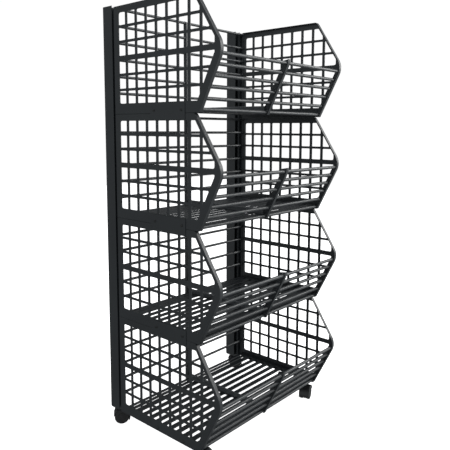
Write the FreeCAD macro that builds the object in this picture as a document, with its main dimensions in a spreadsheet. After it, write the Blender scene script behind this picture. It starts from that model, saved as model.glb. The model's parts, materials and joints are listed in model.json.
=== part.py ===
import FreeCAD, Part
import math
import os

V = FreeCAD.Vector

# Four-tier wheeled basket rack of pierced sheet steel and round bar.
# Frame: +Z up, the front of the rack faces -Y, +X to the rack's right as
# seen from the front. The origin is on the floor under the middle of the
# rack's bounding box. Lengths are in millimetres.

doc = FreeCAD.newDocument("basket_rack")
sheet = doc.addObject("Spreadsheet::Sheet", "Sizes")

SIZES = [
    # overall
    ("rack_width", 541.0),          # outer face to outer face of the side panels
    ("tier_pitch", 290.0),          # height of one basket
    ("tiers", 4),
    ("floor_gap", 50.5),            # floor to the lowest panel's bottom edge
    ("shift_x", -10.5),             # places the bounding box centre on the origin
    ("shift_y", 174.4),
    # side panels: outline as depth from the rear edge and drop from the top
    ("skin", 2.0),                  # panel sheet thickness
    ("lip", 9.0),                   # turned-in edge, beyond the sheet
    ("top_depth", 312.0),
    ("nose_depth", 404.0),
    ("nose_drop", 140.0),
    ("foot_depth", 327.0),
    ("top_radius", 12.0),
    ("nose_radius", 45.0),
    ("foot_radius", 4.0),
    ("edge_round", 1.1),
    # grid in the side panels
    ("rear_bar", 22.0),
    ("top_bar", 18.2),
    ("middle_bar", 14.0),
    ("row_bar", 7.0),
    ("row_open", 33.5),
    ("column_bar", 9.0),
    ("column_pitch", 40.0),
    ("first_column", 54.0),
    ("upper_web", 8.4),
    ("lower_web", 18.0),
    ("nose_window", 378.0),
    ("window_corner", 2.0),
    ("frame_corner", 5.5),
    # rear posts
    ("post_width", 24.0),
    ("post_depth", 41.0),
    ("post_gap", 8.5),
    ("post_skin", 2.0),
    ("post_rise", 5.0),             # post above the top panels
    ("post_chamfer", 5.0),
    # centre rear upright
    ("upright_width", 16.0),
    ("upright_depth", 11.5),
    ("upright_skin", 1.2),
    ("upright_top", 1157.0),
    # bars and rails
    ("bar_radius", 4.0),
    ("bar_hole", 4.15),
    ("bar_setback", 5.4),
    ("bar_first", 5.0),
    ("bar_pitch", 45.5),
    ("rail_radius", 4.6),
    ("rail_hole", 4.75),
    # centre front plate
    ("plate_skin", 2.0),
    ("plate_strip", 9.0),
    ("plate_web", 19.0),
    # shelf
    ("shelf_top", 13.0),
    ("shelf_skin", 2.5),
    ("shelf_front", 317.0),
    ("shelf_rear", 12.0),
    ("shelf_front_lip", 4.5),
    ("slot_wide", 12.5),
    ("slot_pitch", 28.06),
    ("slot_first", 69.36),
    ("slot_count", 9),
    ("slot_rear", 24.5),            # two narrow rows of slots behind the wide ones
    ("slot_rear_gap", 16.8),
    ("slot_narrow", 5.5),
    ("slot_inner", 7.4),
    ("slot_outer", 256.0),
    ("rib_width", 9.0),             # centre rib standing on the pan
    ("rib_height", 12.5),
    ("rib_skin", 1.5),
    # joining channels, joint plates, screws
    ("channel_skin", 1.5),
    ("channel_front", 11.4),
    ("channel_rear", 16.0),
    ("channel_sink", 11.5),
    ("channel_foot", 4.0),
    ("joint_plate", 1.2),
    ("joint_rear", 150.0),
    ("joint_front", 279.5),
    ("joint_above", 26.5),
    ("joint_below", 16.5),
    ("screw_radius", 2.0),
    ("screw_hole", 2.1),
    ("screw_head", 3.6),
    ("screw_level", 8.0),
    # casters
    ("wheel_radius", 21.5),
    ("wheel_inner", 7.0),
    ("wheel_outer", 16.3),
    ("caster_trail", 13.5),
    ("hood_outer", 24.4),
    ("hood_inner", 22.6),
    ("hood_half", 16.6),
    ("web_half", 3.2),
    ("boss_radius", 6.4),
    ("stem_radius", 4.0),
    ("stem_bore", 4.05),
    ("stem_collar", 6.0),
    ("axle_radius", 3.0),
    ("axle_seat", 3.02),
    ("axle_bore", 3.05),
    ("axle_half", 13.6),
    ("caster_plate", 3.0),
    ("nut_height", 5.0),
    ("nut_flats", 13.0),
    ("front_caster_x", 253.0),
    ("front_caster_y", 307.0),
    ("rear_caster_x", 259.5),
    ("rear_caster_y", 33.0),
    ("swivel_fl", 45.0),            # rest headings of the casters, degrees
    ("swivel_fr", 160.0),
    ("swivel_rl", 37.0),
    ("swivel_rr", 42.0),
]

P = {}
for row, (name, value) in enumerate(SIZES, start=1):
    sheet.set("A%d" % row, name)
    sheet.set("B%d" % row, str(value))
    sheet.setAlias("B%d" % row, name)
    P[name] = float(value)
doc.recompute()

PARTS = []          # (node name, object)


# ---------------------------------------------------------------- helpers

def role(body, wanted):
    for f in body.Origin.OriginFeatures:
        if f.Role == wanted:
            return f
    raise RuntimeError(wanted)


def new_body(name, base=(0, 0, 0), turn=0.0):
    b = doc.addObject("PartDesign::Body", name)
    b.Label = name
    b.AllowCompound = True
    b.Placement = FreeCAD.Placement(V(*base), FreeCAD.Rotation(V(0, 0, 1), turn))
    PARTS.append((name, b))
    return b


def new_sketch(body, name, plane, loops, lift=None):
    """A sketch on one of the body's own origin planes. loops holds lists of
    Part curves; lift is an expression for the distance along the normal."""
    s = body.newObject("Sketcher::SketchObject", name)
    s.AttachmentSupport = [(role(body, plane), "")]
    s.MapMode = "FlatFace"
    geo = []
    for loop in loops:
        geo.extend(loop)
    s.addGeometry(geo, False)
    if lift is not None:
        s.setExpression("AttachmentOffset.Base.z", lift)
    return s


def new_pad(body, name, sk, length, reverse=False, middle=False):
    f = body.newObject("PartDesign::Pad", name)
    f.Profile = sk
    f.setExpression("Length", length)
    f.Reversed = reverse
    f.Midplane = middle
    sk.Visibility = False
    return f


def new_pocket(body, name, sk, length=None, reverse=False, middle=False):
    f = body.newObject("PartDesign::Pocket", name)
    f.Profile = sk
    if length is None:
        f.Type = "ThroughAll"
    else:
        f.setExpression("Length", length)
    f.Reversed = reverse
    f.Midplane = middle
    return f


def circle(x, y, r):
    return [Part.Circle(V(x, y, 0), V(0, 0, 1), r)]


def polygon(points):
    n = len(points)
    return [Part.LineSegment(V(*points[i], 0), V(*points[(i + 1) % n], 0))
            for i in range(n)]


def rectangle(x0, y0, x1, y1):
    return polygon([(x0, y0), (x1, y0), (x1, y1), (x0, y1)])


def rounded(points, radii):
    """Closed loop of lines and tangent arcs through a polygon's corners."""
    n = len(points)
    if not isinstance(radii, (list, tuple)):
        radii = [radii] * n
    pts = [V(p[0], p[1], 0) for p in points]
    ends = []
    for i in range(n):
        c, a, b = pts[i], pts[i - 1], pts[(i + 1) % n]
        ua = (a - c); la = ua.Length; ua = ua / la
        ub = (b - c); lb = ub.Length; ub = ub / lb
        half = ua.getAngle(ub) / 2.0
        r = radii[i]
        cut = r / math.tan(half)
        limit = 0.46 * min(la, lb)
        if cut > limit:
            cut = limit
            r = cut * math.tan(half)
        if r < 0.05:
            ends.append((c, None, c))
            continue
        way = (ua + ub)
        way = way / way.Length
        centre = c + way * (r / math.sin(half))
        mid = centre - way * r
        ends.append((c + ua * cut, mid, c + ub * cut))
    loop = []
    for i in range(n):
        a, mid, b = ends[i]
        if mid is not None:
            loop.append(Part.Arc(a, mid, b))
        nxt = ends[(i + 1) % n][0]
        if (nxt - b).Length > 1e-6:
            loop.append(Part.LineSegment(b, nxt))
    return loop


def clip(points, a, b):
    """Keep the part of a convex polygon to the left of the line a -> b."""
    out = []
    n = len(points)

    def side(p):
        return (b[0] - a[0]) * (p[1] - a[1]) - (b[1] - a[1]) * (p[0] - a[0])
    for i in range(n):
        p, q = points[i], points[(i + 1) % n]
        sp, sq = side(p), side(q)
        if sp >= 0:
            out.append(p)
        if (sp > 0 and sq < 0) or (sp < 0 and sq > 0):
            k = sp / (sp - sq)
            out.append((p[0] + (q[0] - p[0]) * k, p[1] + (q[1] - p[1]) * k))
    clean = []
    for p in out:
        if not clean or math.hypot(p[0] - clean[-1][0], p[1] - clean[-1][1]) > 0.2:
            clean.append(p)
    if len(clean) > 1 and math.hypot(clean[0][0] - clean[-1][0],
                                     clean[0][1] - clean[-1][1]) <= 0.2:
        clean.pop()
    return clean


def area(points):
    n = len(points)
    return abs(sum(points[i][0] * points[(i + 1) % n][1] -
                   points[(i + 1) % n][0] * points[i][1] for i in range(n))) / 2.0


def tier_z(k):
    """Bottom edge of tier k's panels (1 is the top tier) above the floor."""
    return P["floor_gap"] + (P["tiers"] - k) * P["tier_pitch"]


HALF = P["rack_width"] / 2.0
INNER = HALF - P["skin"]                # inner face of the side panels
H = P["tier_pitch"]
OX, OY = P["shift_x"], P["shift_y"]


# ------------------------------------------------- side panel outline
# In the panel's plane: first coordinate is Y (front is negative), second Z.

def corners(inset=0.0):
    """Outline corners, moved inwards by inset, counter-clockwise seen from
    +X: rear bottom, rear top, front top, nose, front foot."""
    base = [(0.0, 0.0), (-P["foot_depth"], 0.0),
            (-P["nose_depth"], H - P["nose_drop"]), (-P["top_depth"], H), (0.0, H)]
    if inset == 0.0:
        return base
    n = len(base)
    lines = []
    for i in range(n):
        a, b = base[i], base[(i + 1) % n]
        dx, dy = b[0] - a[0], b[1] - a[1]
        ln = math.hypot(dx, dy)
        nx, ny = dy / ln, -dx / ln          # inward for this winding
        lines.append(((a[0] + nx * inset, a[1] + ny * inset), (dx / ln, dy / ln)))
    out = []
    for i in range(n):
        (p, u), (q, w) = lines[i - 1], lines[i]
        det = u[0] * w[1] - u[1] * w[0]
        s = ((q[0] - p[0]) * w[1] - (q[1] - p[1]) * w[0]) / det
        out.append((p[0] + u[0] * s, p[1] + u[1] * s))
    return out


def outline(inset=0.0):
    r = [1.5, P["foot_radius"], P["nose_radius"], P["top_radius"], 1.5]
    return rounded(corners(inset), [max(x - inset, 0.3) for x in r])


def slant(inset, upper):
    """A point and direction on a front slant moved inwards by inset."""
    c = corners(inset)
    return (c[2], c[3]) if upper else (c[1], c[2])


def windows():
    """Openings of the grid, clipped by the slanted front webs."""
    xs = [(-P["rear_bar"], -(P["first_column"] - P["column_bar"] / 2))]
    for i in range(7):
        d = P["first_column"] + i * P["column_pitch"]
        xs.append((-(d + P["column_bar"] / 2),
                   -(d + P["column_pitch"] - P["column_bar"] / 2)))
    last = P["first_column"] + 7 * P["column_pitch"] + P["column_bar"] / 2
    xs.append((-last, -P["nose_window"]))
    t = P["top_bar"]
    rows = []
    for i in range(6):
        rows.append((H - t, H - t - P["row_open"]))
        t += P["row_open"] + (P["middle_bar"] if i == 2 else P["row_bar"])
    u0, u1 = slant(P["upper_web"], True)
    l0, l1 = slant(P["lower_web"], False)
    loops = []
    for ci, (xa, xb) in enumerate(xs):
        for ri, (za, zb) in enumerate(rows):
            pts = [(xa, zb), (xa, za), (xb, za), (xb, zb)]      # counter-clockwise
            pts = clip(pts, u1, u0)
            if len(pts) > 2:
                pts = clip(pts, l1, l0)
            if len(pts) < 3 or area(pts) < 45.0:
                continue
            radii = []
            for p in pts:
                at_frame = (abs(p[0] - xs[0][0]) < 0.01 and ri in (0, 5) and
                            (abs(p[1] - rows[0][0]) < 0.01 or abs(p[1] - rows[5][1]) < 0.01))
                at_nose = abs(p[0] + P["nose_window"]) < 0.01
                radii.append(P["frame_corner"] if (at_frame or at_nose) else P["window_corner"])
            loops.append(rounded(pts, radii))
    return loops


# nose arc, for the pieces that follow the front edge
def nose_arc(inset):
    c = corners(inset)
    n, a, b = V(c[2][0], c[2][1], 0), V(c[3][0], c[3][1], 0), V(c[1][0], c[1][1], 0)
    ua = (a - n); ua = ua / ua.Length
    ub = (b - n); ub = ub / ub.Length
    half = ua.getAngle(ub) / 2
    r = P["nose_radius"] - inset
    way = ua + ub
    way = way / way.Length
    return n + way * (r / math.sin(half)), r, n + ub * (r / math.tan(half)), V(c[1][0], c[1][1], 0)


# rails: depth and drop of the six centres behind the front edge
RAILS = [(388.9, 153.2), (376.9, 177.6), (363.9, 203.0),
         (350.5, 228.8), (336.4, 256.2), (323.0, 282.0)]
BARS = [P["bar_first"] + i * P["bar_pitch"] for i in range(6)]


# --------------------------------------------------------- side panels

def side_panel(side, k):
    sgn = 1 if side == "right" else -1
    b = new_body("side_panel_%s_t%d" % (side, k),
                 (OX + sgn * INNER, OY, tier_z(k)))
    # face sheet with its grid of openings and the screw holes above the lower edge
    holes = [circle(-d, P["screw_level"], P["screw_hole"]) for d in SCREW_D]
    sk = new_sketch(b, "Face_%s%d" % (side[0], k), "YZ_Plane", [outline()] + WINDOWS + holes)
    new_pad(b, "FacePad_%s%d" % (side[0], k), sk, "Sizes.skin", reverse=(sgn < 0))
    # turned-in lip along the top, front and bottom edges; the rear stays flat
    c0 = corners(0.0)
    c1 = corners(P["skin"])
    back = -12.0
    outer = [(back, 0.0), c0[1], c0[2], c0[3], (back, H)]
    inner = [(back, H - P["skin"]), c1[3], c1[2], c1[1], (back, P["skin"])]
    rr = [0.3, P["foot_radius"], P["nose_radius"], P["top_radius"], 0.3,
          0.3, P["top_radius"] - P["skin"], P["nose_radius"] - P["skin"],
          P["foot_radius"] - P["skin"], 0.3]
    sk2 = new_sketch(b, "Lip_%s%d" % (side[0], k), "YZ_Plane",
                     [rounded(outer + inner, rr)])
    lip = new_pad(b, "LipPad_%s%d" % (side[0], k), sk2, "Sizes.lip", reverse=(sgn > 0))
    doc.recompute()
    # rounded bend along the outer edge
    x_out = sgn * P["skin"]
    names = []
    for i, e in enumerate(lip.Shape.Edges, start=1):
        bb = e.BoundBox
        if abs(bb.XMin - x_out) < 1e-3 and abs(bb.XMax - x_out) < 1e-3:
            m = e.valueAt((e.FirstParameter + e.LastParameter) / 2)
            if RIM.distToShape(Part.Vertex(0, m.y, m.z))[0] < 0.01:
                names.append("Edge%d" % i)
    fil = b.newObject("PartDesign::Fillet", "Bend_%s%d" % (side[0], k))
    fil.Base = (lip, names)
    fil.setExpression("Radius", "Sizes.edge_round")
    return b


SCREW_D = (164.0, 266.0)
WINDOWS = windows()
RIM = Part.Compound([Part.Edge(c.toShape()) if not isinstance(c, Part.Edge) else c
                     for c in outline()])
RIM.transformShape(FreeCAD.Matrix(0, 0, 1, 0, 1, 0, 0, 0, 0, 1, 0, 0, 0, 0, 0, 1))
for k in range(1, 5):
    for side in ("left", "right"):
        side_panel(side, k)


# --------------------------------------------------------------- posts

def post(side):
    sgn = 1 if side == "right" else -1
    b = new_body("post_%s" % side, (OX, OY, P["floor_gap"]))
    xo, xi = sgn * HALF, sgn * (HALF - P["post_width"])
    y0, y1 = P["post_gap"], P["post_gap"] + P["post_depth"]
    t = sgn * P["post_skin"]
    # channel, open towards the front, with softly bent rear corners
    pts = [(xo, y0), (xo, y1), (xi, y1), (xi, y0), (xi + t, y0),
           (xi + t, y1 - P["post_skin"]), (xo - t, y1 - P["post_skin"]), (xo - t, y0)]
    rr = [0.9, 3.4, 3.4, 0.9, 0.9, 1.4, 1.4, 0.9]
    sk = new_sketch(b, "Channel_" + side, "XY_Plane", [rounded(pts, rr)])
    f = new_pad(b, "ChannelPad_" + side, sk, "Sizes.tier_pitch * Sizes.tiers + Sizes.post_rise")
    doc.recompute()
    # lower rear corner taken off
    c = P["post_chamfer"]
    sk2 = new_sketch(b, "Foot_" + side, "YZ_Plane",
                     [polygon([(y1 + 1, -1), (y1 + 1, c + 1), (y1 - c - 1, -1)])])
    new_pocket(b, "FootCut_" + side, sk2, middle=True)
    return b


for side in ("left", "right"):
    post(side)

# centre rear upright: folded strip, open to the rear, bored for the bars
b = new_body("back_centre_upright", (OX, OY, P["floor_gap"]))
w, dpt, t = P["upright_width"] / 2, P["upright_depth"], P["upright_skin"]
pts = [(-w, 0), (-w, -dpt), (w, -dpt), (w, 0), (w - t, 0), (w - t, -dpt + t),
       (-w + t, -dpt + t), (-w + t, 0)]
sk = new_sketch(b, "Strip", "XY_Plane",
                [rounded(pts, [0.3, 1.6, 1.6, 0.3, 0.3, 0.5, 0.5, 0.3])])
new_pad(b, "StripPad", sk, "Sizes.upright_top")
loops = []
for k in range(1, 5):
    for tdrop in BARS:
        z = (5 - k) * H - tdrop
        loops.append(circle(-P["bar_setback"], z, P["bar_hole"]))
sk = new_sketch(b, "BarHoles", "YZ_Plane", loops)
new_pocket(b, "BarHolesCut", sk, middle=True)


# ------------------------------------------------- rails and back bars

for k in range(1, 5):
    b = new_body("front_rails_t%d" % k, (OX, OY, tier_z(k)))
    sk = new_sketch(b, "Rails%d" % k, "YZ_Plane",
                    [circle(-d, H - t, P["rail_radius"]) for d, t in RAILS])
    new_pad(b, "RailsPad%d" % k, sk, "Sizes.rack_width - 2 * Sizes.skin", middle=True)

    b = new_body("back_bars_t%d" % k, (OX, OY, tier_z(k)))
    sk = new_sketch(b, "Bars%d" % k, "YZ_Plane",
                    [circle(-P["bar_setback"], H - t, P["bar_radius"]) for t in BARS])
    new_pad(b, "BarsPad%d" % k, sk,
            "Sizes.rack_width - 2 * Sizes.skin - 2 * Sizes.channel_skin", middle=True)

    # centre front plate: a web behind the front strip, bored for the rails
    b = new_body("front_centre_plate_t%d" % k, (OX, OY, tier_z(k)))
    foot = 1.0
    top = H - 143.0

    def on_slant(inset, z):
        (a, c) = slant(inset, False)
        q = (z - a[1]) / (c[1] - a[1])
        return (a[0] + (c[0] - a[0]) * q, z)

    def edge_path(inset):
        centre, r, tangent, _ = nose_arc(inset)
        y_top = -math.sqrt(max(r * r - (top - centre.y) ** 2, 0.0)) + centre.x
        start = V(y_top, top, 0)
        mid_dir = ((start - centre) + (tangent - centre))
        mid = centre + mid_dir / mid_dir.Length * r
        low = on_slant(inset, foot)
        return start, mid, tangent, V(low[0], low[1], 0)

    a0, am, a1, a2 = edge_path(0.0)
    i0, im, i1, i2 = edge_path(P["skin"])
    strip = [Part.Arc(a0, am, a1), Part.LineSegment(a1, a2), Part.LineSegment(a2, i2),
             Part.LineSegment(i2, i1), Part.Arc(i1, im, i0), Part.LineSegment(i0, a0)]
    sk = new_sketch(b, "Strip_c%d" % k, "YZ_Plane", [strip])
    new_pad(b, "StripPad_c%d" % k, sk, "Sizes.plate_strip", middle=True)
    back_top = V(a0.x + P["plate_web"] + 1.0, top - 3.0, 0)
    b1 = on_slant(P["plate_web"], 24.0)
    web = [Part.Arc(i0, im, i1), Part.LineSegment(i1, i2),
           Part.LineSegment(i2, V(-P["shelf_front"], foot, 0)),
           Part.LineSegment(V(-P["shelf_front"], foot, 0), V(-P["shelf_front"], 24.0, 0)),
           Part.LineSegment(V(-P["shelf_front"], 24.0, 0), V(b1[0], 27.0, 0)),
           Part.LineSegment(V(b1[0], 27.0, 0), V(*on_slant(P["plate_web"], top - 26.0), 0)),
           Part.LineSegment(V(*on_slant(P["plate_web"], top - 26.0), 0), back_top),
           Part.LineSegment(back_top, i0)]
    sk = new_sketch(b, "Web_c%d" % k, "YZ_Plane", [web])
    new_pad(b, "WebPad_c%d" % k, sk, "Sizes.plate_skin", middle=True)
    sk = new_sketch(b, "Bores_c%d" % k, "YZ_Plane",
                    [circle(-d, H - t, P["rail_hole"]) for d, t in RAILS])
    new_pocket(b, "BoresCut_c%d" % k, sk, "2 * Sizes.plate_skin", middle=True)


# -------------------------------------------------------------- shelves

SH_X = INNER                      # the pan spans between the panels' inner faces
for k in range(1, 5):
    b = new_body("shelf_t%d" % k, (OX, OY, tier_z(k)))
    yf, yr, s = -P["shelf_front"], -P["shelf_rear"], P["shelf_skin"]
    sk = new_sketch(b, "Pan%d" % k, "XY_Plane", [rectangle(-SH_X, yf, SH_X, yr)],
                    lift="Sizes.shelf_top")
    new_pad(b, "PanPad%d" % k, sk, "Sizes.shelf_skin", reverse=True)
    sk = new_sketch(b, "SideLips%d" % k, "XY_Plane",
                    [rectangle(-SH_X, yf, -SH_X + s, yr), rectangle(SH_X - s, yf, SH_X, yr)],
                    lift="Sizes.shelf_top - Sizes.shelf_skin")
    new_pad(b, "SideLipsPad%d" % k, sk, "Sizes.shelf_top - Sizes.shelf_skin - Sizes.skin",
            reverse=True)
    sk = new_sketch(b, "FrontLip%d" % k, "XY_Plane", [rectangle(-SH_X, yf, SH_X, yf + s)],
                    lift="Sizes.shelf_top - Sizes.shelf_skin")
    lip = new_pad(b, "FrontLipPad%d" % k, sk, "Sizes.shelf_front_lip", reverse=True)
    # one row of slots, repeated towards the front
    y = -P["slot_first"]
    hw = P["slot_wide"] / 2
    slot = [rounded([(a, y - hw), (c, y - hw), (c, y + hw), (a, y + hw)], hw * 0.75)
            for a, c in ((-P["slot_outer"], -P["slot_inner"]),
                         (P["slot_inner"], P["slot_outer"]))]
    sk = new_sketch(b, "Slot%d" % k, "XY_Plane", slot, lift="Sizes.shelf_top")
    cut = new_pocket(b, "SlotCut%d" % k, sk, "4 * Sizes.shelf_skin", middle=True)
    doc.recompute()
    pat = b.newObject("PartDesign::LinearPattern", "SlotRow%d" % k)
    pat.Originals = [cut]
    pat.Direction = (role(b, "Y_Axis"), [""])
    pat.Reversed = True
    pat.setExpression("Length", "Sizes.slot_pitch * (Sizes.slot_count - 1)")
    pat.setExpression("Occurrences", "Sizes.slot_count")
    b.Tip = pat
    narrow = []
    hn = P["slot_narrow"] / 2
    for j in (0, 1):
        y = -P["slot_rear"] - j * P["slot_rear_gap"]
        narrow += [rounded([(a, y - hn), (c, y - hn), (c, y + hn), (a, y + hn)], hn * 0.75)
                   for a, c in ((-P["slot_outer"], -P["slot_inner"]),
                                (P["slot_inner"], P["slot_outer"]))]
    sk = new_sketch(b, "NarrowSlots%d" % k, "XY_Plane", narrow, lift="Sizes.shelf_top")
    b.Tip = new_pocket(b, "NarrowSlotsCut%d" % k, sk, "4 * Sizes.shelf_skin", middle=True)
    doc.recompute()
    sk = new_sketch(b, "SideHoles%d" % k, "YZ_Plane",
                    [circle(-d, P["screw_level"], P["screw_hole"]) for d in SCREW_D])
    hole = new_pocket(b, "SideHolesCut%d" % k, sk, middle=True)
    b.Tip = hole

    # rib: a channel turned over on the pan's middle land, front to rear
    b = new_body("shelf_rib_t%d" % k, (OX, OY, tier_z(k)))
    w, t = P["rib_width"] / 2, P["rib_skin"]
    zb = P["shelf_top"]
    zt = zb + P["rib_height"]
    prof = [(-w, zb), (-w + t, zb), (-w + t, zt - t), (w - t, zt - t), (w - t, zb),
            (w, zb), (w, zt), (-w, zt)]
    sk = new_sketch(b, "Rib%d" % k, "XZ_Plane",
                    [rounded(prof, [0, 0, 0.9, 0.9, 0, 0, 2.4, 2.4])],
                    lift="Sizes.shelf_rear")
    new_pad(b, "RibPad%d" % k, sk, "Sizes.shelf_front - Sizes.shelf_rear")


# ---------------------------- joining channels, joint plates and screws

for side in ("left", "right"):
    sgn = 1 if side == "right" else -1
    # hat-section strip up the gap between post and panels, fixed to the
    # inside of both, with its middle sunk behind the gap
    b = new_body("joining_channel_%s" % side, (OX, OY, P["floor_gap"]))
    t = P["channel_skin"]
    x0, x1 = INNER, INNER - P["channel_sink"]
    y0, y1, y2, y3 = -P["channel_front"], -1.0, P["post_gap"] + 1.0, P["channel_rear"]
    hat = [(x0, y0), (x0, y1 + t), (x1 + t, y1 + t), (x1 + t, y2 - t), (x0, y2 - t), (x0, y3),
           (x0 - t, y3), (x0 - t, y2), (x1, y2), (x1, y1), (x0 - t, y1), (x0 - t, y0)]
    hat = [(sgn * px, py) for px, py in hat]
    sk = new_sketch(b, "Hat_" + side, "XY_Plane", [polygon(hat)],
                    lift="Sizes.channel_foot")
    new_pad(b, "HatPad_" + side, sk,
            "Sizes.tier_pitch * Sizes.tiers - Sizes.channel_foot")

    # thin plates over the joints between stacked panels, on the outside
    b = new_body("joint_plates_%s" % side, (OX + sgn * HALF, OY, P["floor_gap"]))
    loops = []
    for j in (1, 2, 3):
        z = j * H
        a, c = -P["joint_front"], -P["joint_rear"]
        lo, hi = z - P["joint_below"], z + P["joint_above"]
        loops.append(rounded([(a, lo), (c, lo), (c, hi), (a, hi)], 2.5))
    sk = new_sketch(b, "Plates_" + side, "YZ_Plane", loops)
    new_pad(b, "PlatesPad_" + side, sk, "Sizes.joint_plate", reverse=(sgn < 0))
    sk = new_sketch(b, "PlateHoles_" + side, "YZ_Plane",
                    [circle(-d, j * H + P["screw_level"], P["screw_hole"])
                     for d in SCREW_D for j in (1, 2, 3)])
    new_pocket(b, "PlateHolesCut_" + side, sk, middle=True)

    # pan-head screws through plate, panel and shelf lip
    b = new_body("panel_screws_%s" % side, (OX, OY, P["floor_gap"]))
    heads = []
    for level in (0, 1):          # bottom tier has no joint plate under the head
        spots = [(-d, j * H + P["screw_level"]) for d in SCREW_D
                 for j in ((0,) if level == 0 else (1, 2, 3))]
        face = HALF + (P["joint_plate"] if level else 0.0)
        sk = new_sketch(b, "Heads%d_%s" % (level, side), "YZ_Plane",
                        [circle(y, z, P["screw_head"]) for y, z in spots])
        sk.AttachmentOffset = FreeCAD.Placement(V(0, 0, sgn * face), FreeCAD.Rotation())
        f = new_pad(b, "HeadsPad%d_%s" % (level, side), sk, "Sizes.joint_plate * 1.4",
                    reverse=(sgn < 0))
        heads.append((f, face))
        sk = new_sketch(b, "Shanks%d_%s" % (level, side), "YZ_Plane",
                        [circle(y, z, P["screw_radius"]) for y, z in spots])
        sk.AttachmentOffset = FreeCAD.Placement(V(0, 0, sgn * (face + 0.2)), FreeCAD.Rotation())
        new_pad(b, "ShanksPad%d_%s" % (level, side), sk, "Sizes.skin * 2 + 5",
                reverse=(sgn > 0))
    doc.recompute()
    tip = b.Tip
    outer = []
    for i, e in enumerate(tip.Shape.Edges, start=1):
        if isinstance(e.Curve, Part.Circle) and abs(e.Curve.Radius - P["screw_head"]) < 1e-3:
            x = abs(e.BoundBox.Center.x)
            for f, face in heads:
                if abs(x - (face + P["joint_plate"] * 1.4)) < 1e-3:
                    outer.append("Edge%d" % i)
    rnd = b.newObject("PartDesign::Fillet", "HeadRound_" + side)
    rnd.Base = (tip, outer)
    rnd.Radius = 0.9


# -------------------------------------------------------------- casters

SPOTS = {
    "fl": (-P["front_caster_x"], -P["front_caster_y"], P["skin"], P["swivel_fl"]),
    "fr": (P["front_caster_x"], -P["front_caster_y"], P["skin"], P["swivel_fr"]),
    "rl": (-P["rear_caster_x"], P["rear_caster_y"], 0.0, P["swivel_rl"]),
    "rr": (P["rear_caster_x"], P["rear_caster_y"], 0.0, P["swivel_rr"]),
}

# mounting plates: in the posts' feet at the rear, on the panels' lips in front
b = new_body("caster_plates", (OX, OY, P["floor_gap"]))
gap = HALF - P["post_skin"]
for sgn in (-1, 1):
    x0, x1 = sorted((sgn * gap, sgn * (HALF - P["post_width"] + P["post_skin"])))
    sk = new_sketch(b, "RearPlate%d" % (sgn + 1), "XY_Plane",
                    [rectangle(x0, P["post_gap"] + 1.0, x1, 43.0)])
    new_pad(b, "RearPlatePad%d" % (sgn + 1), sk, "Sizes.caster_plate")
    x0, x1 = sorted((sgn * (INNER - P["shelf_skin"]), sgn * 231.0))
    sk = new_sketch(b, "FrontPlate%d" % (sgn + 1), "XY_Plane",
                    [rounded([(x0, -318.0), (x1, -318.0), (x1, -288.0), (x0, -288.0)], 2.0)],
                    lift="Sizes.skin")
    new_pad(b, "FrontPlatePad%d" % (sgn + 1), sk, "Sizes.caster_plate")
sk = new_sketch(b, "StemHoles", "XY_Plane",
                [circle(x, y, P["stem_bore"] + 0.15) for x, y, z, a in SPOTS.values()])
new_pocket(b, "StemHolesCut", sk, middle=True)

# stems: shank through the plate, collar under it, pivot below
b = new_body("caster_stems", (OX, OY, P["floor_gap"]))
for tag, (x, y, z, a) in SPOTS.items():
    sk = new_sketch(b, "Pivot_" + tag, "XY_Plane", [circle(x, y, P["stem_radius"])],
                    lift="-20.5")
    f = new_pad(b, "PivotPad_" + tag, sk, "20.5 + %s + Sizes.caster_plate + Sizes.nut_height + 0.3"
                % ("Sizes.skin" if z > 0 else "0.0"))
    sk = new_sketch(b, "Collar_" + tag, "XY_Plane", [circle(x, y, P["stem_collar"])],
                    lift="-2.4")
    new_pad(b, "CollarPad_" + tag, sk, "2.4 + %s" % ("Sizes.skin" if z > 0 else "0.0"))

# hexagon nuts over the plates
b = new_body("caster_nuts", (OX, OY, P["floor_gap"]))
rh = P["nut_flats"] / math.sqrt(3.0)
for tag, (x, y, z, a) in SPOTS.items():
    hexa = [(x + rh * math.cos(math.radians(60 * i)), y + rh * math.sin(math.radians(60 * i)))
            for i in range(6)]
    sk = new_sketch(b, "Nut_" + tag, "XY_Plane", [polygon(hexa)],
                    lift="%s + Sizes.caster_plate" % ("Sizes.skin" if z > 0 else "0.0"))
    new_pad(b, "NutPad_" + tag, sk, "Sizes.nut_height")
sk = new_sketch(b, "NutBores", "XY_Plane",
                [circle(x, y, P["stem_bore"]) for x, y, z, a in SPOTS.values()])
new_pocket(b, "NutBoresCut", sk, middle=True)

AX, AZ = P["caster_trail"], -(P["floor_gap"] - P["wheel_radius"])     # axle centre


def sector(r_out, r_in, a0, a1):
    def at(r, a):
        return V(AX + r * math.cos(math.radians(a)), AZ + r * math.sin(math.radians(a)), 0)
    m = (a0 + a1) / 2
    return [Part.Arc(at(r_out, a0), at(r_out, m), at(r_out, a1)),
            Part.LineSegment(at(r_out, a1), at(r_in, a1)),
            Part.Arc(at(r_in, a1), at(r_in, m), at(r_in, a0)),
            Part.LineSegment(at(r_in, a0), at(r_out, a0))]


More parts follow.
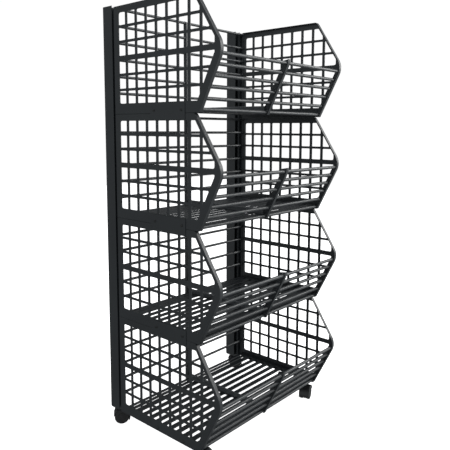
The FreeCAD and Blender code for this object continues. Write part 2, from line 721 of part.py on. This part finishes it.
for tag, (x, y, z, ang) in SPOTS.items():
    place = (OX + x, OY + y, P["floor_gap"])
    # hood: a fender over the wheels, a web between them and the pivot boss
    b = new_body("caster_hood_" + tag, place, -ang)
    sk = new_sketch(b, "Fender_" + tag, "XZ_Plane",
                    [sector(P["hood_outer"], P["hood_inner"], -28.0, 168.0)])
    new_pad(b, "FenderPad_" + tag, sk, "2 * Sizes.hood_half", middle=True)
    sk = new_sketch(b, "Web_" + tag, "XZ_Plane",
                    [sector(P["hood_inner"] + 0.6, 2.0, -24.0, 164.0)])
    new_pad(b, "WebPad_" + tag, sk, "2 * Sizes.web_half", middle=True)
    sk = new_sketch(b, "AxleBoss_" + tag, "XZ_Plane", [circle(AX, AZ, 6.2)])
    new_pad(b, "AxleBossPad_" + tag, sk, "2 * Sizes.wheel_inner - 0.6", middle=True)
    sk = new_sketch(b, "Boss_" + tag, "XY_Plane", [circle(0, 0, P["boss_radius"])],
                    lift="-22.5")
    new_pad(b, "BossPad_" + tag, sk, "22.5 - 2.9")
    sk = new_sketch(b, "Bore_" + tag, "XY_Plane", [circle(0, 0, P["stem_bore"])],
                    lift="-2.0")
    new_pocket(b, "BoreCut_" + tag, sk, "18.9")
    sk = new_sketch(b, "AxleSeat_" + tag, "XZ_Plane", [circle(AX, AZ, P["axle_seat"])])
    new_pocket(b, "AxleSeatCut_" + tag, sk, middle=True)

    b = new_body("caster_axle_" + tag, place, -ang)
    sk = new_sketch(b, "Axle_" + tag, "XZ_Plane", [circle(AX, AZ, P["axle_radius"])])
    new_pad(b, "AxlePad_" + tag, sk, "2 * Sizes.axle_half", middle=True)

    # wheels: rounded tread, dished outer face, blind bore on the axle
    for part, s in (("a", 1), ("b", -1)):
        b = new_body("wheel_%s_%s" % (tag, part), place, -ang)
        R, yi, yo, rb = P["wheel_radius"], P["wheel_inner"], P["wheel_outer"], P["axle_bore"]
        be = P["axle_half"] + 0.3
        # profile in the plane x = axle: first coordinate is Y, second Z
        pr = [(yi, rb), (yi, R - 3.0), (yi, R), (yo - 0.6, R), (yo, 15.0), (yo - 1.3, 14.0),
              (yo - 1.3, 8.0), (yo - 0.1, 6.6), (yo + 0.2, 0.0), (be, 0.0), (be, rb)]
        rr = [0, 0, 1.2, 2.4, 0.5, 0.3, 0.4, 0.6, 0, 0, 0]
        pts = [(s * p[0], AZ + p[1]) for p in pr]
        sk = new_sketch(b, "Wheel_%s%s" % (tag, part), "YZ_Plane", [rounded(pts, rr)],
                        lift="Sizes.caster_trail")
        rv = b.newObject("PartDesign::Revolution", "WheelTurn_%s%s" % (tag, part))
        line = sk.addGeometry(Part.LineSegment(V(s * yi, AZ, 0), V(s * (yo + 5), AZ, 0)), True)
        rv.Profile = sk
        rv.ReferenceAxis = (sk, ["Axis0"])
        rv.Angle = 360.0

doc.recompute()

# ---------------------------------------------------- checks and output

bad = []
for o in doc.Objects:
    if "Invalid" in o.State or "Error" in o.State:
        bad.append("%s: %s" % (o.Name, o.State))
for name, o in PARTS:
    sh = o.Shape
    if sh.isNull() or not sh.isValid() or not sh.Solids:
        bad.append("%s: null or invalid shape" % name)
if bad:
    raise RuntimeError("; ".join(bad))

os.makedirs("parts", exist_ok=True)
box = FreeCAD.BoundBox()
for name, o in PARTS:
    sh = o.Shape
    box.add(sh.BoundBox)
    sh.exportStep("parts/%s.step" % name)
print("nodes %d, solids %d" % (len(PARTS), sum(len(o.Shape.Solids) for n, o in PARTS)))
print("box X %.1f..%.1f Y %.1f..%.1f Z %.1f..%.1f" %
      (box.XMin, box.XMax, box.YMin, box.YMax, box.ZMin, box.ZMax))
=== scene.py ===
import json
import math

import bmesh
import bpy
from mathutils import Matrix, Vector

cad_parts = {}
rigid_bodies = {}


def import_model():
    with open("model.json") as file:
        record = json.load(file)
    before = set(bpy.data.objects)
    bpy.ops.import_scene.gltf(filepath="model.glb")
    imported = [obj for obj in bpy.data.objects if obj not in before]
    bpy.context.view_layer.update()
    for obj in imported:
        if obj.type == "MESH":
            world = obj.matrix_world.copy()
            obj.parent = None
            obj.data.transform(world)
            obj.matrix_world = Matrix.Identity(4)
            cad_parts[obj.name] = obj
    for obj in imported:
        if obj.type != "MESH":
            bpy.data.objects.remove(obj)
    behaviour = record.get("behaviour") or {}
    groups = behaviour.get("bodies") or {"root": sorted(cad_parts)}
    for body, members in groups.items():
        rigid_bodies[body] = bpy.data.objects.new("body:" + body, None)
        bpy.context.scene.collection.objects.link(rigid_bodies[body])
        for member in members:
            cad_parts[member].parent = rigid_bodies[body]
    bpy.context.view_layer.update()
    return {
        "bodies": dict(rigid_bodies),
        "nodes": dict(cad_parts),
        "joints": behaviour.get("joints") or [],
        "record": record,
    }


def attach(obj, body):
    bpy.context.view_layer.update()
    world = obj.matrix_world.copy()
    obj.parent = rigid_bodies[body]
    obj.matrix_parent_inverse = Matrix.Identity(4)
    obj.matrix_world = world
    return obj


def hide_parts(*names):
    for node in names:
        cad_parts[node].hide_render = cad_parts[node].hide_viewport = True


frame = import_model()
NODES = frame["nodes"]
JOINTS = {j["name"]: j for j in frame["joints"]}
SC = bpy.context.scene

# ------------------------------------------------------------------ sizes (m)
MM = 0.001
OX, OY = -10.5 * MM, 174.4 * MM          # middle of the rack, rear edge of the side panels
FLOOR_GAP = 50.5 * MM
TIER = 290.0 * MM
HALF = 270.5 * MM
INNER = 268.5 * MM
RAIL_R = 4.6 * MM
BAR_R = 4.0 * MM
BAR_BACK = 5.4 * MM                      # bar centres in front of the panels' rear edges
BAR_END = 267.0 * MM
RAILS = [(388.9, 153.2), (376.9, 177.6), (363.9, 203.0),
         (350.5, 228.8), (336.4, 256.2), (323.0, 282.0)]
BARS = [5.0 + 45.5 * i for i in range(6)]
SCREW_D = (164.0, 266.0)
SCREW_Z = 8.0 * MM
TAGS = ("fl", "fr", "rl", "rr")


def tier_z(k):
    return FLOOR_GAP + (4 - k) * TIER


# ------------------------------------------------------------------ materials
def nodes_of(name):
    m = bpy.data.materials.new(name)
    m.use_nodes = True
    nt = m.node_tree
    for n in list(nt.nodes):
        nt.nodes.remove(n)
    out = nt.nodes.new("ShaderNodeOutputMaterial")
    bsdf = nt.nodes.new("ShaderNodeBsdfPrincipled")
    nt.links.new(bsdf.outputs[0], out.inputs[0])
    return m, nt, bsdf


def noise(nt, coord, scale, detail=2.0, rough=0.5, dims=(1, 1, 1)):
    mp = nt.nodes.new("ShaderNodeMapping")
    mp.inputs["Scale"].default_value = dims
    nt.links.new(coord, mp.inputs[0])
    t = nt.nodes.new("ShaderNodeTexNoise")
    t.inputs["Scale"].default_value = scale
    t.inputs["Detail"].default_value = detail
    t.inputs["Roughness"].default_value = rough
    nt.links.new(mp.outputs[0], t.inputs["Vector"])
    return t.outputs["Fac"]


def ramp(nt, fac, lo, hi, c0, c1):
    r = nt.nodes.new("ShaderNodeMapRange")
    r.inputs["From Min"].default_value = lo
    r.inputs["From Max"].default_value = hi
    r.inputs["To Min"].default_value = c0
    r.inputs["To Max"].default_value = c1
    nt.links.new(fac, r.inputs["Value"])
    return r.outputs[0]


def mix(nt, fac, a, b):
    m = nt.nodes.new("ShaderNodeMix")
    m.data_type = "RGBA"
    if isinstance(fac, float):
        m.inputs[0].default_value = fac
    else:
        nt.links.new(fac, m.inputs[0])
    for i, v in ((6, a), (7, b)):
        if isinstance(v, tuple):
            m.inputs[i].default_value = (*v, 1)
        else:
            nt.links.new(v, m.inputs[i])
    return m.outputs[2]


def math_node(nt, op, a, b=None):
    m = nt.nodes.new("ShaderNodeMath")
    m.operation = op
    for i, v in ((0, a), (1, b)):
        if v is None:
            continue
        if isinstance(v, (int, float)):
            m.inputs[i].default_value = v
        else:
            nt.links.new(v, m.inputs[i])
    return m.outputs[0]


def coords(nt):
    return nt.nodes.new("ShaderNodeTexCoord").outputs["Object"]


def powder(name, base, light, rough=(0.36, 0.46), peel=0.55, spec=0.5):
    """Satin powder coat: fine orange peel, a faint cloudiness in colour and
    sheen, and sparse dust nibs."""
    m, nt, b = nodes_of(name)
    co = coords(nt)
    cloud = noise(nt, co, 9.0, 4.0, 0.55)
    fine = noise(nt, co, 260.0, 3.0, 0.6)
    c = mix(nt, ramp(nt, cloud, 0.35, 0.68, 0.0, 1.0), base, light)
    c = mix(nt, ramp(nt, fine, 0.62, 0.74, 0.0, 0.35), c, tuple(x * 1.5 + 0.004 for x in light))
    nt.links.new(c, b.inputs["Base Color"])
    r = ramp(nt, noise(nt, co, 24.0, 3.0, 0.6), 0.3, 0.7, rough[0], rough[1])
    nt.links.new(r, b.inputs["Roughness"])
    b.inputs["Specular IOR Level"].default_value = spec
    # orange peel, two wavelengths, in metres of height
    h1 = noise(nt, co, 620.0, 2.0, 0.5)
    h2 = noise(nt, co, 1700.0, 1.0, 0.5)
    h = math_node(nt, "ADD", math_node(nt, "MULTIPLY", h1, 0.00005),
                  math_node(nt, "MULTIPLY", h2, 0.000012))
    bump = nt.nodes.new("ShaderNodeBump")
    bump.inputs["Strength"].default_value = peel
    bump.inputs["Distance"].default_value = 1.0
    nt.links.new(h, bump.inputs["Height"])
    nt.links.new(bump.outputs[0], b.inputs["Normal"])
    return m


def zinc(name):
    """Bright zinc plate: spangled grey with fine turning lines."""
    m, nt, b = nodes_of(name)
    co = coords(nt)
    f = noise(nt, co, 180.0, 3.0, 0.6)
    c = mix(nt, ramp(nt, f, 0.35, 0.7, 0.0, 1.0), (0.42, 0.43, 0.44), (0.60, 0.61, 0.60))
    nt.links.new(c, b.inputs["Base Color"])
    b.inputs["Metallic"].default_value = 1.0
    r = ramp(nt, noise(nt, co, 700.0, 2.0, 0.5, (1, 1, 6)), 0.3, 0.7, 0.24, 0.42)
    nt.links.new(r, b.inputs["Roughness"])
    bump = nt.nodes.new("ShaderNodeBump")
    bump.inputs["Strength"].default_value = 0.3
    bump.inputs["Distance"].default_value = 1.0
    nt.links.new(math_node(nt, "MULTIPLY", noise(nt, co, 900.0, 2.0, 0.5, (1, 1, 5)), 0.00003),
                 bump.inputs["Height"])
    nt.links.new(bump.outputs[0], b.inputs["Normal"])
    return m


def plastic(name, base, light, rough, grain, scuff=0.0, spec=0.5):
    """Moulded plastic: fine spark-eroded grain, faint flow marks, dusty scuffs."""
    m, nt, b = nodes_of(name)
    co = coords(nt)
    flow = noise(nt, co, 38.0, 4.0, 0.6, (1, 1, 2.2))
    c = mix(nt, ramp(nt, flow, 0.35, 0.7, 0.0, 1.0), base, light)
    if scuff:
        s = noise(nt, co, 150.0, 5.0, 0.7, (3, 1, 1))
        c = mix(nt, ramp(nt, s, 0.60, 0.78, 0.0, scuff), c, (0.11, 0.105, 0.10))
    nt.links.new(c, b.inputs["Base Color"])
    r = ramp(nt, noise(nt, co, 90.0, 3.0, 0.6), 0.3, 0.7, rough[0], rough[1])
    nt.links.new(r, b.inputs["Roughness"])
    b.inputs["Specular IOR Level"].default_value = spec
    v = nt.nodes.new("ShaderNodeTexVoronoi")
    v.inputs["Scale"].default_value = 2600.0
    nt.links.new(co, v.inputs["Vector"])
    h = math_node(nt, "MULTIPLY", v.outputs["Distance"], grain)
    bump = nt.nodes.new("ShaderNodeBump")
    bump.inputs["Strength"].default_value = 0.5
    bump.inputs["Distance"].default_value = 1.0
    nt.links.new(h, bump.inputs["Height"])
    nt.links.new(bump.outputs[0], b.inputs["Normal"])
    return m


COAT = powder("powder_coat", (0.0135, 0.0162, 0.0188), (0.0170, 0.0204, 0.0232))
# rails and bars: a lighter copy of the same powder coat, painted light standing in for the light falling on the
# rails
BAR_PAINTED_LIT = powder("powder_coat_bar", (0.0270, 0.0305, 0.0335), (0.0330, 0.0370, 0.0400), (0.36, 0.46))
# shelf ribs: a much lighter copy of the same powder coat, painted light standing in for the light on the ribs'
# tops
RIB_PAINTED_LIT = powder("powder_coat_rib_painted_lit", (0.0620, 0.0670, 0.0720), (0.0760, 0.0820, 0.0870), (0.34, 0.44))
SCREW = powder("black_steel", (0.010, 0.010, 0.0105), (0.016, 0.016, 0.0165), (0.28, 0.4), 0.3)
ZINC = zinc("zinc_steel")
HOOD = plastic("caster_plastic", (0.0075, 0.0072, 0.0080), (0.0115, 0.0110, 0.0118), (0.38, 0.52), 0.00003)
WHEEL = plastic("caster_wheel", (0.0085, 0.0083, 0.0088), (0.0130, 0.0125, 0.0130), (0.42, 0.6), 0.00003, 0.22)

SLOT_MAT = {"powder_coat": COAT, "powder_coat_bar": BAR_PAINTED_LIT, "black_steel": SCREW,
            "zinc_steel": ZINC, "caster_plastic": HOOD, "caster_wheel": WHEEL}
for sp in frame["record"]["subparts"]:
    o = NODES[sp["node"]]
    o.data.materials.clear()
    # the shelf ribs take the lighter copy of the coat, with its painted light
    o.data.materials.append(RIB_PAINTED_LIT if sp["node"].startswith("shelf_rib") else SLOT_MAT[sp["material_slot"]])

# ------------------------------------------------------------------ detail pieces
BODIES = frame["bodies"]


def piece(name, bm, mat, body, smooth=40.0):
    """A finished mesh from bm, in world metres, riding on a body."""
    bmesh.ops.recalc_face_normals(bm, faces=bm.faces[:])
    me = bpy.data.meshes.new(name)
    bm.to_mesh(me)
    bm.free()
    me.shade_smooth()
    me.set_sharp_from_angle(angle=math.radians(smooth))
    me.materials.append(mat)
    o = bpy.data.objects.new(name, me)
    SC.collection.objects.link(o)
    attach(o, body)
    return o


def bead(bm, x, y, z, way, r, size, phase, segs=30):
    """A rippled fillet weld round a bar along X: it climbs from the bar's
    side up the plate at x; way is the side of the plate it lies on."""
    prof = [(0.0, 1.0), (0.30, 0.86), (0.56, 0.60), (0.80, 0.32), (1.0, -0.05)]
    rows = []
    for i in range(segs):
        a = 2.0 * math.pi * i / segs
        k = size * (1.0 + 0.10 * math.sin(11.0 * a + phase) + 0.16 * math.sin(2.0 * a + 2.3 * phase))
        row = []
        for px, pr in prof:
            rr = r + pr * k
            row.append(bm.verts.new((x + way * px * k, y + rr * math.cos(a), z + rr * math.sin(a))))
        rows.append(row)
    for i in range(segs):
        p, q = rows[i], rows[(i + 1) % segs]
        for j in range(len(prof) - 1):
            bm.faces.new((p[j], q[j], q[j + 1], p[j + 1]))


# weld beads: rails to side panels and centre plate, bars to channels and upright, in the bars' lighter coat with
# its painted light
for k in range(1, 5):
    top = tier_z(k) + TIER
    bm = bmesh.new()
    n = 0
    for d, t in RAILS:
        y, z = OY - d * MM, top - t * MM
        for x, way, size in ((OX + INNER, -1, 1.35), (OX - INNER, 1, 1.35),
                             (OX + 1.0 * MM, 1, 1.15), (OX - 1.0 * MM, -1, 1.15)):
            n += 1
            bead(bm, x, y, z, way, RAIL_R, size * MM, 1.7 * n)
    piece("rail_welds_t%d" % k, bm, BAR_PAINTED_LIT, "rack")
    bm = bmesh.new()
    for t in BARS:
        y, z = OY - BAR_BACK, top - t * MM
        for x, way in ((OX + BAR_END, -1), (OX - BAR_END, 1), (OX + 8.0 * MM, 1), (OX - 8.0 * MM, -1)):
            n += 1
            bead(bm, x, y, z, way, BAR_R, 1.1 * MM, 2.1 * n)
    piece("bar_welds_t%d" % k, bm, BAR_PAINTED_LIT, "rack")


def cross_outline(half, arm):
    a, h = arm, half
    return [(h, -a), (h, a), (a, a), (a, h), (-a, h), (-a, a), (-h, a), (-h, -a),
            (-a, -a), (-a, -h), (a, -h), (a, -a)]


def screw(bm, x, y, z, way):
    """Pan-head screw with a cross recess, its head outwards along X."""
    R, hh = 3.6 * MM, 1.68 * MM
    segs = 48

    def at(u, v, h):
        return (x + way * h, y + u, z + v)
    # recess: floor, walls, rim
    low = [bm.verts.new(at(u * MM, v * MM, hh - 1.05 * MM)) for u, v in cross_outline(1.55, 0.34)]
    rim = [bm.verts.new(at(u * MM, v * MM, hh - 0.02 * MM)) for u, v in cross_outline(1.95, 0.46)]
    bm.faces.new(low)
    n = len(low)
    for i in range(n):
        bm.faces.new((low[i], low[(i + 1) % n], rim[(i + 1) % n], rim[i]))
    ring = [bm.verts.new(at(2.35 * MM * math.cos(2 * math.pi * i / segs),
                            2.35 * MM * math.sin(2 * math.pi * i / segs), hh - 0.03 * MM))
            for i in range(segs)]
    edges = [bm.edges.get((rim[i], rim[(i + 1) % n])) for i in range(n)]
    for i in range(segs):
        edges.append(bm.edges.new((ring[i], ring[(i + 1) % segs])))
    bmesh.ops.triangle_fill(bm, use_beauty=True, use_dissolve=False, edges=edges)
    # rounded head, washer face, shank with rolled thread, dog point
    prof = [(2.8, hh / MM - 0.08), (3.2, hh / MM - 0.26), (3.45, hh / MM - 0.52), (3.58, hh / MM - 0.85),
            (3.60, 0.35), (3.52, 0.0), (2.0, 0.0)]
    h = 0.0
    while h > -8.6:
        prof += [(2.0, h), (1.68, h - 0.18), (1.68, h - 0.36), (2.0, h - 0.54)]
        h -= 0.70
    prof += [(1.6, h), (1.2, h - 0.35), (0.0, h - 0.35)]
    last = ring
    for r, d in prof:
        if r < 0.01:
            tip = bm.verts.new(at(0.0, 0.0, d * MM))
            for i in range(segs):
                bm.faces.new((last[i], last[(i + 1) % segs], tip))
            break
        cur = [bm.verts.new(at(r * MM * math.cos(2 * math.pi * i / segs),
                               r * MM * math.sin(2 * math.pi * i / segs), d * MM)) for i in range(segs)]
        for i in range(segs):
            bm.faces.new((last[i], last[(i + 1) % segs], cur[(i + 1) % segs], cur[i]))
        last = cur


for side, way in (("left", -1), ("right", 1)):
    bm = bmesh.new()
    for k in range(1, 5):
        face = HALF + (0.0 if k == 4 else 1.2 * MM)
        for d in SCREW_D:
            screw(bm, OX + way * face, OY - d * MM, tier_z(k) + SCREW_Z, way)
    o = piece("cross_screws_" + side, bm, SCREW, "rack", 30.0)
    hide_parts("panel_screws_" + side)


def tube(bm, pts, r, side, segs=12):
    """A round bead along pts, all in one plane whose normal is side."""
    rows = []
    n = len(pts)
    for i, p in enumerate(pts):
        d = (pts[min(i + 1, n - 1)] - pts[max(i - 1, 0)]).normalized()
        u = side.normalized()
        v = d.cross(u).normalized()
        k = 1.0
        rows.append([bm.verts.new(p + (u * math.cos(2 * math.pi * j / segs) +
                                       v * math.sin(2 * math.pi * j / segs)) * r * k) for j in range(segs)])
    for i in range(n - 1):
        for j in range(segs):
            bm.faces.new((rows[i][j], rows[i][(j + 1) % segs], rows[i + 1][(j + 1) % segs], rows[i + 1][j]))
    for row, s, p in ((rows[0], -1, pts[0]), (rows[-1], 1, pts[-1])):
        d = (pts[1] - pts[0]) if s < 0 else (pts[-1] - pts[-2])
        tip = bm.verts.new(p + d.normalized() * (s * r * 0.6))
        for j in range(segs):
            bm.faces.new((row[j], row[(j + 1) % segs], tip))


SPOTS = {"fl": (-253.0, -307.0, 45.0), "fr": (253.0, -307.0, 160.0),
         "rl": (-259.5, 33.0, 37.0), "rr": (259.5, 33.0, 42.0)}
WHEEL_R, TRAIL = 21.5 * MM, 13.5 * MM
for tag, (sx, sy, turn) in SPOTS.items():
    T = (Matrix.Translation((OX + sx * MM, OY + sy * MM, FLOOR_GAP)) @
         Matrix.Rotation(math.radians(-turn), 4, "Z"))
    R3 = T.to_3x3()
    az = -(FLOOR_GAP - WHEEL_R)
    # rolled edges along both rims of the hood
    bm = bmesh.new()
    for s in (-1, 1):
        pts = []
        for i in range(41):
            a = math.radians(-28.0 + 196.0 * i / 40.0)
            pts.append(T @ Vector((TRAIL + 23.5 * MM * math.cos(a), s * 15.9 * MM, az + 23.5 * MM * math.sin(a))))
        tube(bm, pts, 1.15 * MM, R3 @ Vector((0, 1, 0)))
    # raised band round the swivel boss
    for zz, rr in ((-3.4, 6.9), (-6.6, 6.7)):
        pts = [T @ Vector((rr * MM * math.cos(2 * math.pi * i / 36.0), rr * MM * math.sin(2 * math.pi * i / 36.0),
                           zz * MM)) for i in range(37)]
        tube(bm, pts, 0.55 * MM, Vector((0, 0, 1)))
    piece("hood_edges_" + tag, bm, HOOD, "caster_" + tag, 60.0)
    # ribs in the dish of each wheel's outer face, and a ring round its hub
    for w, s in (("a", 1), ("b", -1)):
        bm = bmesh.new()
        for i in range(8):
            a = math.pi / 8 + i * math.pi / 4
            u = Vector((math.cos(a), 0, math.sin(a)))
            v = Vector((-math.sin(a), 0, math.cos(a)))
            c = Vector((TRAIL, 0, az))
            quad = []
            for r, hw in ((6.9, 0.85), (14.3, 0.60)):
                for e in (-1, 1):
                    quad.append(c + u * (r * MM) + v * (e * hw * MM))
            lo = [bm.verts.new(T @ (p + Vector((0, s * 14.8 * MM, 0)))) for p in quad]
            hi = []
            for j, p in enumerate(quad):
                mid = (quad[0] + quad[1]) / 2 if j < 2 else (quad[2] + quad[3]) / 2
                q = mid + (p - mid) * 0.62
                hi.append(bm.verts.new(T @ (q + Vector((0, s * (15.95 if j < 2 else 15.75) * MM, 0)))))
            for f in ((0, 1, 3, 2),):
                bm.faces.new([lo[g] for g in f])
                bm.faces.new([hi[g] for g in f])
            for g, h2 in ((0, 1), (1, 3), (3, 2), (2, 0)):
                bm.faces.new((lo[g], lo[h2], hi[h2], hi[g]))
        pts = [T @ Vector((TRAIL + 7.3 * MM * math.cos(2 * math.pi * i / 40.0), s * 15.2 * MM,
                           az + 7.3 * MM * math.sin(2 * math.pi * i / 40.0))) for i in range(41)]
        tube(bm, pts, 0.75 * MM, R3 @ Vector((0, 1, 0)), 10)
        piece("wheel_ribs_%s_%s" % (tag, w), bm, WHEEL, "wheel_%s_%s_body" % (tag, w), 40.0)

# ------------------------------------------------------------------ stage
floor = bpy.data.meshes.new("floor")
bm = bmesh.new()
bmesh.ops.create_grid(bm, x_segments=2, y_segments=2, size=6.0)
bm.to_mesh(floor)
bm.free()
floor = bpy.data.objects.new("floor", floor)
SC.collection.objects.link(floor)
fm, fnt, fb = nodes_of("floor")
fb.inputs["Roughness"].default_value = 0.95
fb.inputs["Specular IOR Level"].default_value = 0.0
fc = mix(fnt, ramp(fnt, noise(fnt, coords(fnt), 3.0), 0.3, 0.7, 0.0, 1.0), (0.90, 0.90, 0.90), (0.93, 0.93, 0.93))
fnt.links.new(fc, fb.inputs["Base Color"])
fb.inputs["Emission Color"].default_value = (1, 1, 1, 1)
fb.inputs["Emission Strength"].default_value = 1.0
floor.data.materials.append(fm)
floor.visible_diffuse = False            # a cut-out studio floor: it lights nothing from below
floor.visible_glossy = False
floor.visible_shadow = False

world = bpy.data.worlds.new("studio")
SC.world = world
world.use_nodes = True
wn = world.node_tree
for n in list(wn.nodes):
    wn.nodes.remove(n)
wout = wn.nodes.new("ShaderNodeOutputWorld")
wmix = wn.nodes.new("ShaderNodeMixShader")
b_env = wn.nodes.new("ShaderNodeBackground")
b_cam = wn.nodes.new("ShaderNodeBackground")
b_env.inputs[0].default_value = (0.94, 0.98, 1.0, 1)
wco = wn.nodes.new("ShaderNodeTexCoord")
wsep = wn.nodes.new("ShaderNodeSeparateXYZ")
wn.links.new(wco.outputs["Generated"], wsep.inputs[0])


def lobe(direction, lo, hi, gain):
    """A broad pale wall of the studio, brightest towards direction."""
    v = wn.nodes.new("ShaderNodeVectorMath")
    v.operation = "DOT_PRODUCT"
    v.inputs[1].default_value = direction
    wn.links.new(wco.outputs["Generated"], v.inputs[0])
    return ramp(wn, v.outputs["Value"], lo, hi, 0.0, gain)


env = ramp(wn, wsep.outputs[2], -0.35, 0.75, 0.13, 0.26)
env = math_node(wn, "ADD", env, lobe((0.77, -0.64, 0.0), 0.45, 0.95, 0.75))
env = math_node(wn, "ADD", env, lobe((-0.97, -0.10, 0.10), 0.40, 0.95, 0.72))
wn.links.new(env, b_env.inputs[1])
b_cam.inputs[0].default_value = (1, 1, 1, 1)
b_cam.inputs[1].default_value = 1.02
lp = wn.nodes.new("ShaderNodeLightPath")
wn.links.new(lp.outputs["Is Camera Ray"], wmix.inputs[0])
wn.links.new(b_env.outputs[0], wmix.inputs[1])
wn.links.new(b_cam.outputs[0], wmix.inputs[2])
wn.links.new(wmix.outputs[0], wout.inputs[0])


def area_light(name, loc, target, size, power, colour=(1, 1, 1)):
    d = bpy.data.lights.new(name, "AREA")
    d.shape = "RECTANGLE"
    d.size, d.size_y = size
    d.energy = power
    d.color = colour
    o = bpy.data.objects.new(name, d)
    SC.collection.objects.link(o)
    o.location = loc
    o.rotation_mode = "QUATERNION"
    o.rotation_quaternion = (Vector(target) - Vector(loc)).to_track_quat("-Z", "Y")
    return o


def far_light(name, azimuth, elevation, distance, size, power, colour=(1, 1, 1)):
    """A softbox aimed at the rack; azimuth is from the front (-Y) towards +X."""
    a, e = math.radians(azimuth), math.radians(elevation)
    c = Vector((0.0, 0.0, 0.62))
    loc = c + Vector((math.sin(a) * math.cos(e), -math.cos(a) * math.cos(e), math.sin(e))) * distance
    return area_light(name, loc, c, size, power, colour)


far_light("key", 56.0, 24.0, 3.6, (2.0, 2.2), 80.0, (1.0, 0.995, 0.98))
far_light("top", 20.0, 78.0, 3.2, (2.0, 2.0), 56.0)

cam_d = bpy.data.cameras.new("camera")
cam = bpy.data.objects.new("camera", cam_d)
SC.collection.objects.link(cam)
SC.camera = cam
cam_d.sensor_width = 36.0
cam_d.lens = 545.92 * 36.0 / 450.0
cam_d.shift_x = (225.0 - 239.28) / 450.0
cam_d.shift_y = (190.91 - 225.0) / 450.0
cam_d.clip_start, cam_d.clip_end = 0.05, 60.0
yaw, pitch, roll = (math.radians(a) for a in (49.42, 6.43, 0.33))
fwd = Vector((math.sin(yaw) * math.cos(pitch), math.cos(yaw) * math.cos(pitch), -math.sin(pitch)))
right = Vector((math.cos(yaw), -math.sin(yaw), 0.0))
up = right.cross(fwd)
r2 = right * math.cos(roll) + up * math.sin(roll)
u2 = up * math.cos(roll) - right * math.sin(roll)
rot = Matrix((r2, u2, -fwd)).transposed().to_4x4()
cam.matrix_world = Matrix.Translation(Vector((OX - 1209.9 * MM, OY - 1260.4 * MM, FLOOR_GAP + 830.5 * MM))) @ rot

SC.view_settings.view_transform = "Standard"
